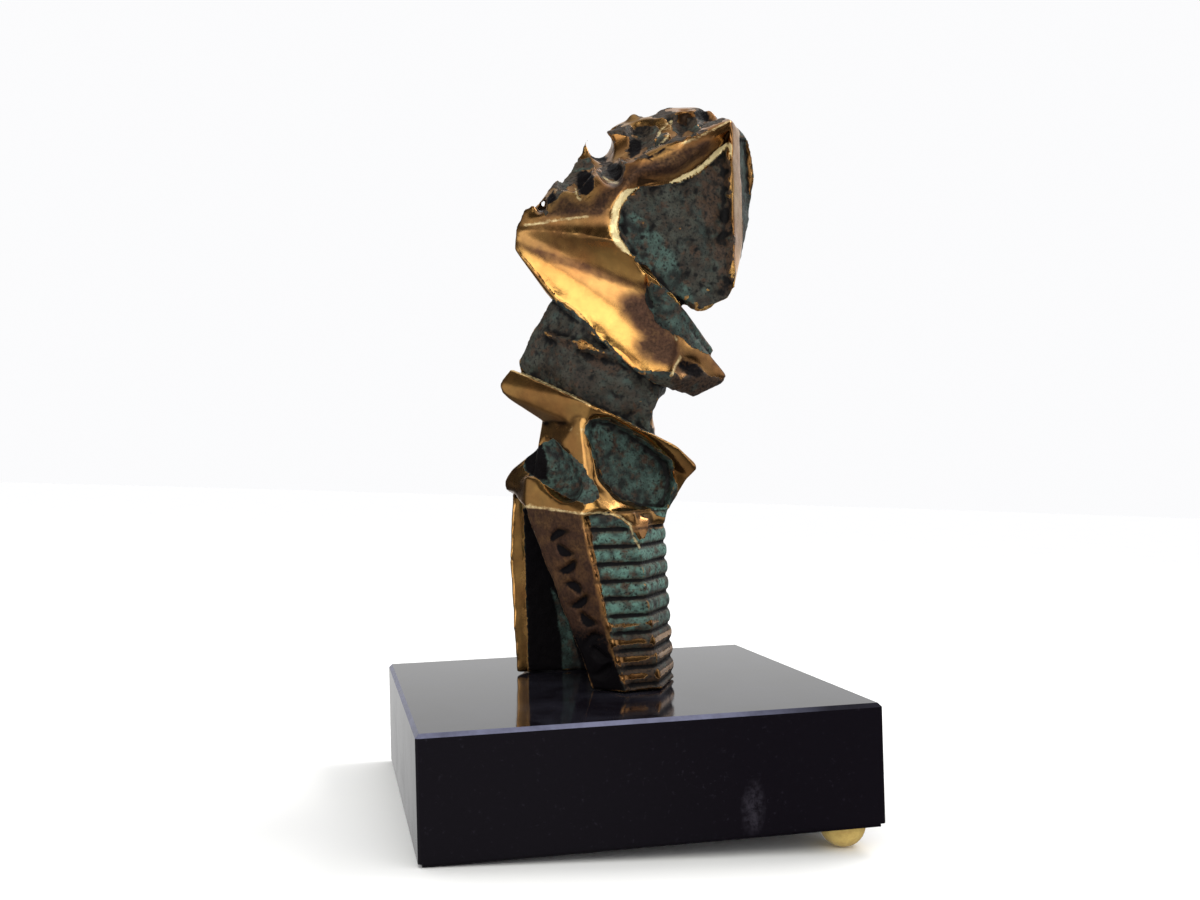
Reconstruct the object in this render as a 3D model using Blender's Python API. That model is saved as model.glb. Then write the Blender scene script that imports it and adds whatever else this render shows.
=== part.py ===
"""A small abstract bronze sculpture on a square black stone plinth with brass feet under its right side.

The plinth tips: its left edge is on the floor and its right side is on the feet.
"""

import math

import bmesh
import bpy
from mathutils import Matrix, Vector

MM = 0.001

# Plinth and feet, in metres
PLINTH_WIDTH = 120 * MM
PLINTH_DEPTH = 120 * MM
PLINTH_HEIGHT = 32 * MM
TOP_CHAMFER = 2.2 * MM
EDGE_ROUND = 1.8 * MM
EDGE_ROUND_STEPS = 6
CORNER_CHAMFER = 0.6 * MM
FOOT_RADIUS = 6.2 * MM
FOOT_FLAT_DROP = 0.15 * MM
FOOT_INSET = 8.6 * MM
SEAT_GAP = 0.3 * MM

# Bronze: everything in it is a share of its own height, drawn at DRAWN_HEIGHT units
STATUE_HEIGHT = 175 * MM
DRAWN_HEIGHT = 175.0
UNIT = STATUE_HEIGHT / DRAWN_HEIGHT
STATUE_TURN = math.radians(-12.2)

RIB_COUNT = 11
RIB_DEPTH = 0.9
RIB_FULLNESS = 0.7
RIB_STEPS = 6
LEG_TOP = 50.0
FOOT_STUB = 3.0
FIELD_REACH = 14.0
SIDE_LEAN = 0.36
SIDE_FIELD_DEPTH = 2.2
SIDE_FIELD_CLEAR = 3.0
STROKE_COUNT = 9
STROKE_LENGTH = 7.0
STROKE_DEPTH = 0.9

SHARP_ANGLE = math.radians(35)
SAME_POINT = 1e-6

BRONZE_LOOK = ((0.50, 0.33, 0.13), 1.0, 0.3)
STONE_LOOK = ((0.015, 0.014, 0.018), 0.0, 0.12)
BRASS_LOOK = ((0.83, 0.62, 0.24), 1.0, 0.2)


def clear_scene():
    for thing in list(bpy.data.objects):
        bpy.data.objects.remove(thing, do_unlink=True)


def new_collection(name, parent=None):
    made = bpy.data.collections.new(name)
    (parent or bpy.context.scene.collection).children.link(made)
    return made


def material(name, look):
    colour, metallic, roughness = look
    made = bpy.data.materials.new(name)
    made.use_nodes = True
    shader = made.node_tree.nodes["Principled BSDF"]
    shader.inputs["Base Color"].default_value = (*colour, 1.0)
    shader.inputs["Metallic"].default_value = metallic
    shader.inputs["Roughness"].default_value = roughness
    return made


def add_object(name, bm, collection):
    """A bmesh as a named object in a collection, with its faces pointing out."""
    bmesh.ops.recalc_face_normals(bm, faces=bm.faces[:])
    mesh = bpy.data.meshes.new(name)
    bm.to_mesh(mesh)
    bm.free()
    made = bpy.data.objects.new(name, mesh)
    collection.objects.link(made)
    return made


def hull(name, points, collection):
    """The convex solid around a few points, in drawn units."""
    bm = bmesh.new()
    for x, y, z in points:
        bm.verts.new((x * UNIT, y * UNIT, z * UNIT))
    made = bmesh.ops.convex_hull(bm, input=bm.verts[:])
    spare = {v for v in made["geom_interior"] if isinstance(v, bmesh.types.BMVert)}
    bmesh.ops.delete(bm, geom=list(spare), context="VERTS")
    bmesh.ops.dissolve_limit(bm, angle_limit=0.001, verts=bm.verts[:], edges=bm.edges[:])
    return add_object(name, bm, collection)


def loft(name, sections, collection):
    """A closed skin through sections that all have the same number of points, in drawn units."""
    bm = bmesh.new()
    rings = [[bm.verts.new(Vector(p) * UNIT) for p in section] for section in sections]
    for low, high in zip(rings, rings[1:]):
        count = len(low)
        for i in range(count):
            j = (i + 1) % count
            bm.faces.new((low[i], low[j], high[j], high[i]))
    bm.faces.new(rings[0][::-1])
    bm.faces.new(rings[-1])
    return add_object(name, bm, collection)


def rod(name, start, end, radius, collection, sides, end_radius=None):
    """A round bar, or a taper, from one point to another, in drawn units."""
    a, b = Vector(start) * UNIT, Vector(end) * UNIT
    turn = (b - a).to_track_quat("Z", "Y").to_matrix().to_4x4()
    bm = bmesh.new()
    bmesh.ops.create_cone(
        bm,
        cap_ends=True,
        segments=sides,
        radius1=radius * UNIT,
        radius2=(end_radius or radius) * UNIT,
        depth=(b - a).length,
        matrix=Matrix.Translation((a + b) / 2) @ turn,
    )
    return add_object(name, bm, collection)


def ball(name, centre, radii, along, collection, rings=12):
    """An ellipsoid, its third radius along a direction, in drawn units."""
    turn = Vector(along).to_track_quat("Z", "Y").to_matrix().to_4x4()
    stretch = Matrix.Diagonal((*(r * UNIT for r in radii), 1.0))
    bm = bmesh.new()
    bmesh.ops.create_uvsphere(
        bm,
        u_segments=2 * rings,
        v_segments=rings,
        radius=1.0,
        matrix=Matrix.Translation(Vector(centre) * UNIT) @ turn @ stretch,
    )
    return add_object(name, bm, collection)


def slab(name, centre, size, collection):
    """A plain box about its centre, in drawn units."""
    bm = bmesh.new()
    bmesh.ops.create_cube(bm, size=1.0)
    bmesh.ops.scale(bm, vec=Vector(size) * UNIT, verts=bm.verts[:])
    bmesh.ops.translate(bm, vec=Vector(centre) * UNIT, verts=bm.verts[:])
    return add_object(name, bm, collection)


def field(name, outline, floor, side, flare, collection):
    """A cutter for a sunk field: an outline in x and z on a leaning floor, its walls open out to a side."""
    centre_x = sum(x for x, _ in outline) / len(outline)
    centre_z = sum(z for _, z in outline) / len(outline)
    depth, lean_x, lean_z = floor
    rings = []
    for out in (0.0, FIELD_REACH):
        spread = 1.0 + flare * out
        ring = []
        for x, z in outline:
            wide_x = centre_x + (x - centre_x) * spread
            wide_z = centre_z + (z - centre_z) * spread
            y = depth + lean_x * (wide_x - centre_x) + lean_z * (wide_z - centre_z)
            ring.append((wide_x, y + side * out, wide_z))
        rings.append(ring)
    return loft(name, rings, collection)


def combine(target, operation, collection):
    cut = target.modifiers.new(operation.lower() + "_" + collection.name, "BOOLEAN")
    cut.operation = operation
    cut.operand_type = "COLLECTION"
    cut.collection = collection
    cut.solver = "EXACT"


def mix(low, high, share):
    return tuple(a + (b - a) * share for a, b in zip(low, high))


def ribbed_leg(masses):
    """The column under the waist: two ribbed faces that meet at a leaning edge."""
    foot = [(4.6, -21.8), (15.5, -17.8), (19.5, 1.0), (16.0, 16.0), (4.5, -1.5)]
    head = [(-5.8, -23.2), (8.6, -22.0), (17.6, -3.0), (15.5, 15.0), (-5.0, -1.5)]
    swell = [(0.0, -1.0), (0.6, -0.8), (1.0, 0.1), (0.3, 0.0), (0.0, 0.0)]
    levels = RIB_COUNT * RIB_STEPS
    sections = []
    for level in range(levels + 1):
        share = level / levels
        height = -FOOT_STUB + (LEG_TOP + FOOT_STUB) * share
        wave = abs(math.sin(math.pi * level / RIB_STEPS)) ** RIB_FULLNESS * RIB_DEPTH
        ring = []
        for low, high, (out_x, out_y) in zip(foot, head, swell):
            x, y = mix(low, high, share)
            ring.append((x + out_x * wave, y + out_y * wave, height))
        sections.append(ring)
    return loft("ribbed_leg", sections, masses)


def legs(masses):
    ribbed_leg(masses)
    hull(
        "slab_leg",
        [
            (-2.7, -15.0, -FOOT_STUB), (6.3, -23.4, -FOOT_STUB), (9.0, -12.0, -FOOT_STUB),
            (2.0, -4.0, -FOOT_STUB), (-17.0, -11.2, 37.0),
            (-22.3, -9.3, 51.9), (-5.8, -25.2, 49.9), (6.0, -12.0, 51.0), (-10.0, 0.0, 51.0),
        ],
        masses,
    )
    foot = [(-27.4, 17.6), (-23.0, 18.6), (-8.0, 20.5), (13.5, 9.0), (14.2, 24.0), (-8.0, 31.0), (-25.0, 27.0)]
    knee = [(-28.6, 15.0), (-25.4, 15.4), (-9.0, 19.0), (12.8, 8.0), (15.2, 24.0), (-8.0, 32.0), (-26.0, 27.0)]
    hip = [(-27.2, 12.2), (-25.0, 12.5), (-9.0, 16.0), (12.0, 7.0), (15.0, 20.0), (-6.0, 27.6), (-24.0, 21.6)]
    sections = []
    for outline, height in ((foot, -FOOT_STUB), (knee, 34.0), (hip, 55.4)):
        sections.append([(x, y, height) for x, y in outline])
    loft("rear_leg", sections, masses)


def waist(masses):
    hull(
        "belt",
        [
            (-22.5, -9.0, 51.5), (-21.5, -9.0, 60.5), (-5.6, -25.6, 49.4), (-0.5, -25.2, 50.8),
            (-3.0, -23.0, 57.0), (18.0, -8.0, 45.5), (19.0, -7.0, 50.0), (19.0, 14.0, 48.0),
            (18.0, 16.0, 58.0), (0.0, 28.4, 52.0), (-2.0, 25.0, 60.0), (-25.4, 13.4, 55.6),
            (-23.4, 15.6, 61.4), (-26.4, 2.6, 56.6),
        ],
        masses,
    )
    hull(
        "knob",
        [
            (-28.6, 2.0, 59.5), (-28.2, 2.0, 56.5), (-26.6, 14.2, 54.2), (-26.2, 2.0, 62.6),
            (-21.0, 1.0, 66.5), (-17.0, 0.0, 69.0), (-24.0, 14.0, 64.0), (-10.0, 10.0, 70.0),
            (-12.0, -6.0, 58.0), (-23.0, -6.0, 57.0),
        ],
        masses,
    )
    hull(
        "torso",
        [
            (-20.0, -8.0, 58.0), (-3.5, -23.5, 52.0), (18.8, -7.0, 49.0), (20.4, -6.0, 54.2),
            (25.6, -6.0, 59.4), (22.0, 14.0, 58.0), (19.0, 14.0, 52.0), (0.0, 24.0, 55.0),
            (-20.0, 12.0, 60.0), (-16.3, -6.0, 72.0), (-16.5, -5.0, 77.0), (-5.6, -21.5, 76.0),
            (2.0, -21.6, 76.0), (14.0, -14.0, 72.0), (16.0, 8.0, 72.0), (-2.0, 18.0, 80.0),
            (-14.0, 8.0, 80.0),
        ],
        masses,
    )


def collar(masses):
    """The tilted flange across the chest and the neck that rises from it."""
    hull(
        "collar",
        [
            (-25.5, -6.0, 92.0), (-29.0, -6.0, 87.2), (-28.4, -6.0, 84.6), (-25.4, -5.0, 82.4),
            (-20.0, -8.0, 81.0), (-16.2, -7.0, 76.0), (-2.5, -24.8, 80.2), (5.0, -24.8, 76.5),
            (14.0, -20.8, 71.8), (22.0, -14.0, 68.0), (28.0, -6.0, 62.7), (28.4, -6.0, 61.0),
            (25.8, -6.0, 58.8), (-3.0, -21.0, 73.0), (-21.0, 12.0, 88.0), (0.0, 22.0, 80.0),
            (21.0, 14.0, 68.0), (22.0, 10.0, 62.0),
        ],
        masses,
    )
    hull(
        "neck",
        [
            (-23.0, 0.0, 91.5), (-23.5, -1.0, 94.0), (-19.8, -4.0, 99.2), (-18.6, -4.0, 103.0),
            (-14.5, -4.0, 106.5), (-12.5, -6.0, 112.0), (-8.0, -15.0, 96.0), (-3.0, -15.0, 110.0),
            (10.0, -17.0, 84.0), (16.5, -2.0, 73.0), (19.5, -2.0, 84.0), (20.0, -10.0, 90.0),
            (14.0, -14.0, 76.0), (16.0, 14.0, 76.0), (22.0, 12.0, 92.0), (-6.0, 20.0, 86.0),
            (-4.0, 20.0, 108.0), (-18.0, 10.0, 94.0), (-13.6, 2.4, 71.0), (-4.0, -13.0, 70.0),
            (12.0, -8.0, 61.0), (10.0, 8.0, 60.0),
        ],
        masses,
    )


def chest(masses):
    """The block of the polished scoop, with its nose to the right."""
    hull(
        "scoop_block",
        [
            (-23.2, -7.6, 131.0), (-23.4, -8.2, 126.2), (-20.5, -8.0, 124.2), (-15.5, -9.0, 119.0),
            (-13.8, -10.0, 112.0), (-10.5, -14.0, 108.5), (-3.0, -20.0, 103.5), (3.5, -22.0, 96.0),
            (11.5, -21.0, 88.0), (20.5, -20.0, 87.0), (-8.0, -19.3, 126.2), (4.0, -25.1, 120.5),
            (11.0, -25.1, 118.4), (16.0, -23.6, 112.6), (22.0, -18.0, 99.0), (22.5, -9.0, 83.2),
            (27.0, -7.0, 81.6), (30.0, -7.0, 83.5), (36.5, -6.0, 86.0), (37.5, -6.0, 88.0),
            (-18.0, 10.0, 122.0), (0.0, 20.0, 108.0), (24.0, 16.0, 92.0), (20.0, 18.0, 110.0),
            (30.0, 4.0, 87.0),
        ],
        masses,
    )


def head(masses):
    hull(
        "head",
        [
            (-23.5, -8.0, 131.8), (-21.3, -8.0, 134.0), (-14.3, -6.0, 137.5), (-10.5, -11.0, 140.9),
            (-6.1, -12.0, 142.5), (2.8, -15.0, 145.4), (14.2, -18.0, 149.9), (27.0, -18.0, 155.0),
            (34.3, -16.0, 157.6), (39.8, -14.0, 160.3), (-8.0, -20.0, 127.0), (4.0, -26.0, 121.5),
            (11.0, -26.0, 119.5), (15.0, -24.0, 115.5), (39.4, -14.0, 112.5), (37.6, -12.0, 109.5),
            (29.5, -12.0, 106.5), (45.5, 8.0, 135.5), (-15.6, 0.0, 139.0), (-11.6, 6.0, 148.4),
            (-8.4, 9.0, 155.0), (-3.6, 14.0, 162.0), (5.0, 20.0, 166.0), (9.5, 24.0, 171.0),
            (24.0, 24.0, 175.0), (33.0, 22.0, 174.5), (39.5, 12.0, 166.5), (47.3, 10.0, 161.0),
            (48.6, 12.0, 156.5), (49.5, 14.0, 150.0), (47.0, 13.0, 135.5), (-12.0, 12.0, 128.0),
            (4.0, 24.0, 130.0), (24.0, 24.0, 118.0), (34.0, 16.0, 114.0),
        ],
        masses,
    )
    hull(
        "tooth",
        [
            (-21.8, -8.0, 134.5), (-20.6, -8.4, 137.6), (-17.3, -8.6, 139.3), (-15.0, -9.5, 135.5),
            (-14.0, -11.0, 132.0), (-21.0, -6.0, 131.0), (-16.0, -4.0, 136.0),
        ],
        masses,
    )


def hollows(cuts):
    """The polished scoop, the flute above it, and the sunk fields between the polished edges."""
    rod("scoop", (-31.0, -9.4, 135.1), (30.9, -50.9, 88.6), 3.8, cuts, 56, 30.2)
    rod("flute", (-25.1, -7.6, 133.3), (7.8, -33.8, 130.2), 1.5, cuts, 36, 11.1)
    field(
        "head_field",
        [
            (13.4, 143.0), (9.4, 138.6), (7.8, 132.5), (8.8, 125.8), (13.0, 118.6), (19.0, 112.6),
            (27.0, 104.0), (31.0, 105.0), (36.0, 108.0), (37.6, 112.0), (37.6, 154.0), (34.0, 151.6),
            (24.5, 143.6),
        ],
        (-14.6, 0.30, 0.05),
        -1,
        0.03,
        cuts,
    )
    side_rim = [
        (-3.5, 158.1), (9.0, 161.0), (11.5, 156.5), (12.3, 146.3),
        (11.5, 138.5), (8.0, 135.9), (0.0, 139.2), (-3.6, 148.1),
    ]
    sections = []
    for step in (SIDE_FIELD_CLEAR, -SIDE_FIELD_DEPTH):
        section = []
        for y, z in side_rim:
            section.append((44.8 + SIDE_LEAN * y + step, y - SIDE_LEAN * step, z))
        sections.append(section)
    loft("side_field", sections, cuts)
    field(
        "torso_field_right",
        [
            (-2.1, 75.5), (3.5, 74.8), (11.3, 69.8), (18.5, 63.8), (20.2, 58.6), (18.0, 50.6),
            (10.9, 51.2), (3.8, 54.6), (-0.3, 59.6), (-1.2, 64.9), (-2.8, 70.5),
        ],
        (-11.8, 0.64, -0.06),
        -1,
        0.015,
        cuts,
    )
    ball("torso_field_left", (-13.2, -15.4, 62.6), (6.2, 6.2, 13.0), (11.0, -13.0, -15.0), cuts)
    ball("neck_hollow_upper", (-7.0, -18.5, 105.0), (4.2, 4.2, 11.0), (25.0, -12.0, -15.0), cuts)
    ball("neck_hollow_lower", (-1.0, -23.0, 90.0), (6.0, 6.0, 20.0), (38.0, -9.0, -19.0), cuts)
    rod("neck_notch", (22.2, -34.0, 76.6), (22.2, 34.0, 78.0), 6.9, cuts, 32)
    rod("collar_hollow", (-27.5, -30.0, 74.2), (-27.5, 30.0, 74.2), 7.5, cuts, 32)


def back_hollows(cuts):
    """The side away from the viewer in the same language, plainer."""
    field(
        "back_head_field",
        [
            (8.0, 161.0), (16.0, 168.0), (32.0, 168.0), (43.0, 157.0), (43.0, 140.0),
            (34.0, 126.0), (22.0, 123.0), (8.0, 132.0), (4.0, 148.0),
        ],
        (19.0, -0.14, -0.02),
        1,
        0.03,
        cuts,
    )
    rod("back_scoop", (-30.0, 20.0, 124.0), (34.0, 40.0, 96.0), 9.0, cuts, 48, 20.0)
    ball("back_neck_hollow", (0.0, 25.0, 90.0), (6.0, 6.0, 20.0), (38.0, 4.0, -12.0), cuts)
    ball("back_torso_hollow", (4.0, 27.0, 67.0), (8.0, 8.0, 16.0), (38.0, 0.0, -10.0), cuts)
    ball("back_leg_hollow", (3.0, 34.0, 28.0), (8.0, 8.0, 20.0), (1.0, 0.0, 4.0), cuts)


def overhangs(late_masses):
    """Parts that stand proud of the hollows: the tongue over the nose and the ridge in the neck."""
    hull(
        "tongue",
        [
            (13.5, -24.5, 116.5), (15.0, -24.0, 115.5), (18.5, -22.5, 113.0), (25.0, -17.5, 106.0),
            (34.0, -7.0, 95.2), (32.5, -6.5, 93.8), (26.0, -12.0, 98.0), (16.5, -17.0, 105.0),
            (30.0, 4.0, 100.0), (16.0, 4.0, 112.0), (26.0, 6.0, 108.0),
        ],
        late_masses,
    )
    hull(
        "neck_ridge",
        [
            (-16.5, -7.0, 103.0), (-14.0, -12.5, 100.5), (-5.0, -19.5, 97.5), (12.0, -18.5, 90.5),
            (12.0, -14.0, 87.5), (-14.0, -8.0, 98.5), (0.0, -8.0, 100.0), (-3.0, -14.0, 93.5),
        ],
        late_masses,
    )
    hull(
        "drip",
        [(2.0, -23.6, 50.5), (9.5, -23.6, 45.0), (11.6, -22.6, 40.0), (14.0, -18.0, 48.0), (4.0, -18.0, 50.0)],
        late_masses,
    )


def crown(late_cuts):
    """Round cups across the open top, with the ridges between them left standing."""
    rod("crown_trough", (-14.0, 2.0, 159.0), (46.0, -2.0, 183.0), 13.0, late_cuts, 40, 15.0)
    cups = [
        ((-5.0, -2.0, 148.6), (6.0, 6.0, 14.0), (-3.0, 20.0, 17.0)),
        ((13.0, 0.0, 160.0), (6.6, 6.6, 21.0), (4.0, 38.0, 22.0)),
        ((19.4, -12.0, 154.6), (3.6, 3.6, 6.5), (30.0, 0.0, 13.0)),
        ((27.8, -1.0, 162.6), (5.8, 5.8, 17.5), (1.4, 40.0, 20.0)),
        ((35.4, 5.0, 167.4), (4.6, 4.6, 15.0), (1.5, 40.0, 18.0)),
    ]
    for number, (centre, radii, along) in enumerate(cups, start=1):
        ball(f"crown_cup_{number}", centre, radii, along, late_cuts)
    rod("crown_channel", (5.6, -22.0, 143.0), (1.6, 26.0, 166.5), 3.4, late_cuts, 24, 4.2)
    rod("blade_side", (-23.7, -1.0, 138.6), (-8.3, 14.6, 168.0), 8.0, late_cuts, 32)
    ball("crown_step", (45.0, 2.0, 166.5), (5.0, 5.0, 14.0), (9.0, 28.0, 0.0), late_cuts)
    ball("tooth_notch", (-14.9, -8.0, 138.2), (1.7, 1.7, 7.0), (0.2, 1.0, 0.4), late_cuts)
    ball("nose_eye", (26.0, -18.0, 90.0), (3.4, 3.4, 6.0), (1.0, 1.0, 0.2), late_cuts)


def strokes(late_cuts):
    """A row of shallow strokes down the slab, which slant to one side and the other by turns."""
    top, bottom = Vector((-13.0, -17.6, 45.0)), Vector((-0.5, -19.4, 6.0))
    leans = [(1.0, -0.9, 0.9), (1.0, -0.9, -0.9)]
    radii = (STROKE_DEPTH, STROKE_DEPTH, STROKE_LENGTH / 2)
    for number in range(STROKE_COUNT):
        centre = top.lerp(bottom, number / (STROKE_COUNT - 1))
        ball(f"stroke_{number + 1}", centre, radii, leans[number % 2], late_cuts, rings=6)


def foot_plane(late_cuts):
    """One flat cut under all the legs, whose masses run on past it."""
    slab("foot_plane", (0.0, 0.0, -20.0), (90.0, 90.0, 40.0), late_cuts)


def build_bronze(shown, cutters):
    """One casting: its masses joined and hollowed, then the parts that overhang, the cups and strokes."""
    stages = {}
    for name in ("masses", "hollows", "overhangs", "cups"):
        stages[name] = new_collection("bronze_" + name, cutters)
    core_points = [(-4, -4, 60), (4, -4, 60), (4, 6, 60), (-4, 6, 60), (0, 0, 110), (8, 4, 130)]
    core = hull("bronze", core_points, shown)
    legs(stages["masses"])
    waist(stages["masses"])
    collar(stages["masses"])
    chest(stages["masses"])
    head(stages["masses"])
    hollows(stages["hollows"])
    back_hollows(stages["hollows"])
    overhangs(stages["overhangs"])
    crown(stages["cups"])
    strokes(stages["cups"])
    foot_plane(stages["cups"])
    combine(core, "UNION", stages["masses"])
    combine(core, "DIFFERENCE", stages["hollows"])
    combine(core, "UNION", stages["overhangs"])
    combine(core, "DIFFERENCE", stages["cups"])
    for collection in stages.values():
        for helper in collection.objects:
            helper.hide_render = True
            helper.display_type = "WIRE"
    return core


def resting_turn():
    """How far the plinth tips: its left edge is on the floor and its right side on the feet."""
    reach = PLINTH_WIDTH - FOOT_INSET - EDGE_ROUND
    drop = SEAT_GAP + EDGE_ROUND
    rise = FOOT_RADIUS - FOOT_FLAT_DROP - EDGE_ROUND
    return math.asin(rise / math.hypot(reach, drop)) + math.atan2(drop, reach)


def resting_frame():
    """From the plinth's own frame (origin at its front left bottom corner) to the frame of the whole part."""
    turn = resting_turn()
    tip = Matrix.Rotation(-turn, 4, "Y") @ Matrix.Translation((-EDGE_ROUND, 0.0, -EDGE_ROUND))
    left = (tip @ Vector((0.0, 0.0, PLINTH_HEIGHT - TOP_CHAMFER))).x
    right = (tip @ Vector((PLINTH_WIDTH - EDGE_ROUND, 0.0, EDGE_ROUND))).x + EDGE_ROUND
    return Matrix.Translation((-(left + right) / 2, -PLINTH_DEPTH / 2, EDGE_ROUND)) @ tip


def upright_edges(bm):
    return [e for e in bm.edges if abs(e.verts[0].co.z - e.verts[1].co.z) > SAME_POINT]


def level_edges(bm, height):
    return [e for e in bm.edges if all(abs(v.co.z - height) < SAME_POINT for v in e.verts)]


def soften(bm, edges, width, steps):
    bmesh.ops.bevel(bm, geom=edges, offset=width, segments=steps, affect="EDGES", clamp_overlap=True)


def build_plinth(shown, place):
    size = Vector((PLINTH_WIDTH, PLINTH_DEPTH, PLINTH_HEIGHT))
    bm = bmesh.new()
    bmesh.ops.create_cube(bm, size=1.0)
    bmesh.ops.scale(bm, vec=size, verts=bm.verts[:])
    bmesh.ops.translate(bm, vec=size / 2, verts=bm.verts[:])
    soften(bm, upright_edges(bm), CORNER_CHAMFER, 1)
    soften(bm, level_edges(bm, PLINTH_HEIGHT), TOP_CHAMFER, 1)
    soften(bm, level_edges(bm, 0.0), EDGE_ROUND, EDGE_ROUND_STEPS)
    made = add_object("plinth", bm, shown)
    made.matrix_world = place
    return made


def build_foot(name, depth, shown, place):
    """A brass half ball under the plinth's right side, with a small flat where it stands."""
    turn = place.to_3x3()
    centre = place @ Vector((PLINTH_WIDTH - FOOT_INSET, depth, -SEAT_GAP))
    under_plinth = (centre, turn @ Vector((0.0, 0.0, 1.0)))
    on_floor = (Vector((0.0, 0.0, 0.0)), Vector((0.0, 0.0, -1.0)))
    bm = bmesh.new()
    bmesh.ops.create_uvsphere(bm, u_segments=32, v_segments=18, radius=FOOT_RADIUS, matrix=turn.to_4x4())
    bmesh.ops.translate(bm, vec=centre, verts=bm.verts[:])
    for point, outward in (under_plinth, on_floor):
        whole = bm.verts[:] + bm.edges[:] + bm.faces[:]
        cut = bmesh.ops.bisect_plane(bm, geom=whole, plane_co=point, plane_no=outward, clear_outer=True)
        rim = [e for e in cut["geom_cut"] if isinstance(e, bmesh.types.BMEdge)]
        bmesh.ops.contextual_create(bm, geom=rim)
    return add_object(name, bm, shown)


def main():
    clear_scene()
    shown = new_collection("abstract_sculpture")
    cutters = new_collection("cutters")
    place = resting_frame()
    plinth = build_plinth(shown, place)
    front_foot = build_foot("foot_front_right", FOOT_INSET, shown, place)
    back_foot = build_foot("foot_back_right", PLINTH_DEPTH - FOOT_INSET, shown, place)
    bronze = build_bronze(shown, cutters)
    seat = Matrix.Translation((PLINTH_WIDTH / 2, PLINTH_DEPTH / 2, PLINTH_HEIGHT + SEAT_GAP))
    stand = place @ seat @ Matrix.Rotation(STATUE_TURN, 4, "Z")
    for thing in [bronze, *cutters.all_objects]:
        thing.matrix_world = stand @ thing.matrix_world
    plinth.data.materials.append(material("black_stone", STONE_LOOK))
    brass = material("brass", BRASS_LOOK)
    for foot in (front_foot, back_foot):
        foot.data.materials.append(brass)
        foot.data.shade_smooth()
        foot.data.set_sharp_from_angle(angle=SHARP_ANGLE)
    bronze.data.materials.append(material("polished_bronze", BRONZE_LOOK))


main()
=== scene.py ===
"""The looks of an abstract bronze sculpture on its black stone plinth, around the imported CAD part.

The bronze is one fine mesh grown from its CAD solid, with its polished faces, rough patinated
recesses and worn edges. The plinth and the feet keep their CAD meshes and get their materials.
Statue coordinates are in millimetres from the middle of the plinth's top face: x to the right,
y away from the viewer and z up along the plinth's own normal.
"""

import math

import bmesh
import bpy
import numpy as np
from mathutils import Matrix, Vector, noise


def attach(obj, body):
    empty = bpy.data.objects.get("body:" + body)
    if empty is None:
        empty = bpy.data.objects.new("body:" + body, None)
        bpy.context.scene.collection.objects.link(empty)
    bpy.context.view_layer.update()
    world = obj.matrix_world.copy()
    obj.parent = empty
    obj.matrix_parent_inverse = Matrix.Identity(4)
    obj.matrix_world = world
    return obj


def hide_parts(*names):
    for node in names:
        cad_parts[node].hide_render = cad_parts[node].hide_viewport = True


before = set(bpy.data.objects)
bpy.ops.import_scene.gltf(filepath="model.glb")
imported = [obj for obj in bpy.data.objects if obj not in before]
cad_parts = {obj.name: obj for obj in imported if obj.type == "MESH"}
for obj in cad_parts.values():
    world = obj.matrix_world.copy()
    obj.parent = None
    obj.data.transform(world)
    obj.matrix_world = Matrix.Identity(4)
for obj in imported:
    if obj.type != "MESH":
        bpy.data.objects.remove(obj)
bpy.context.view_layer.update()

MM = 0.001
SEAT_GAP = 0.3
STATUE_TURN = math.radians(-12.2)

# Camera, in statue coordinates
CAMERA_PLACE = (0.0, -381.4, 62.4)
CAMERA_PITCH = math.radians(0.823)
CAMERA_ROLL = math.radians(-1.499)
CAMERA_LENS = 38.85

# Fine mesh of the bronze
VOXEL = 0.50
SOFTEN_ROUNDS = 4
TARGET_FACES = 190000
EDGE_ROUNDS = 20

# Colours of the bronze
GOLD = (0.88, 0.50, 0.155)
GOLD_DEEP = (0.74, 0.34, 0.105)
# Painted highlight: pale metal on the head's bevels and along the highlight lines
CUT_METAL_AND_HIGHLIGHT = (0.95, 0.78, 0.42)
# Brown film on the polish, which also paints the dark reflections on the scoop, flange and slab
BROWN_FILM_AND_DARK_REFLECTION = (0.118, 0.056, 0.032)
# Painted shade in the polish's creases
CREASE_SHADE_BROWN = (0.07, 0.035, 0.015)
GREEN_DARK = (0.012, 0.017, 0.015)
GREEN_GREY = (0.045, 0.070, 0.060)
VERDIGRIS = (0.100, 0.215, 0.175)
PATINA_BROWN = (0.058, 0.032, 0.018)
# Black flecks of patina, and painted shade in the patina's creases
PATINA_BLACK_AND_CREASE_SHADE = (0.007, 0.007, 0.007)
# Painted shade, nearly black
SHADE_BLACK = (0.005, 0.004, 0.005)

# Colours of the stone
STONE_BLACK = (0.0050, 0.0040, 0.0062)
STONE_SPECK = (0.016, 0.014, 0.020)
STONE_VEIN = (0.020, 0.018, 0.026)
STONE_HAZE = (0.030, 0.030, 0.042)
SMUDGE_GREY = (0.026, 0.023, 0.031)
# Painted pale reflection on the stone's chamfer
CHAMFER_REFLECTION_BLUE = (0.150, 0.155, 0.235)
STONE_SPECULAR = 0.14

# The smudge on the stone's front, in metres: its middle across and up, then half its size across and up
SMUDGE = (0.0246, 0.0125, 0.0030, 0.0066)

# Colours of the brass feet and of the floor
BRASS = (0.86, 0.62, 0.20)
BRASS_DULL = (0.62, 0.42, 0.13)
BRASS_METALLIC = 0.4
FLOOR_LOW = (0.96, 0.96, 0.97)
FLOOR_HIGH = (0.98, 0.98, 0.98)
FLOOR_RADIUS = 8.0
FLOOR_ROUGHNESS = 0.8

# A distance in millimetres that is further than anything here
FAR = 1e9


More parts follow.
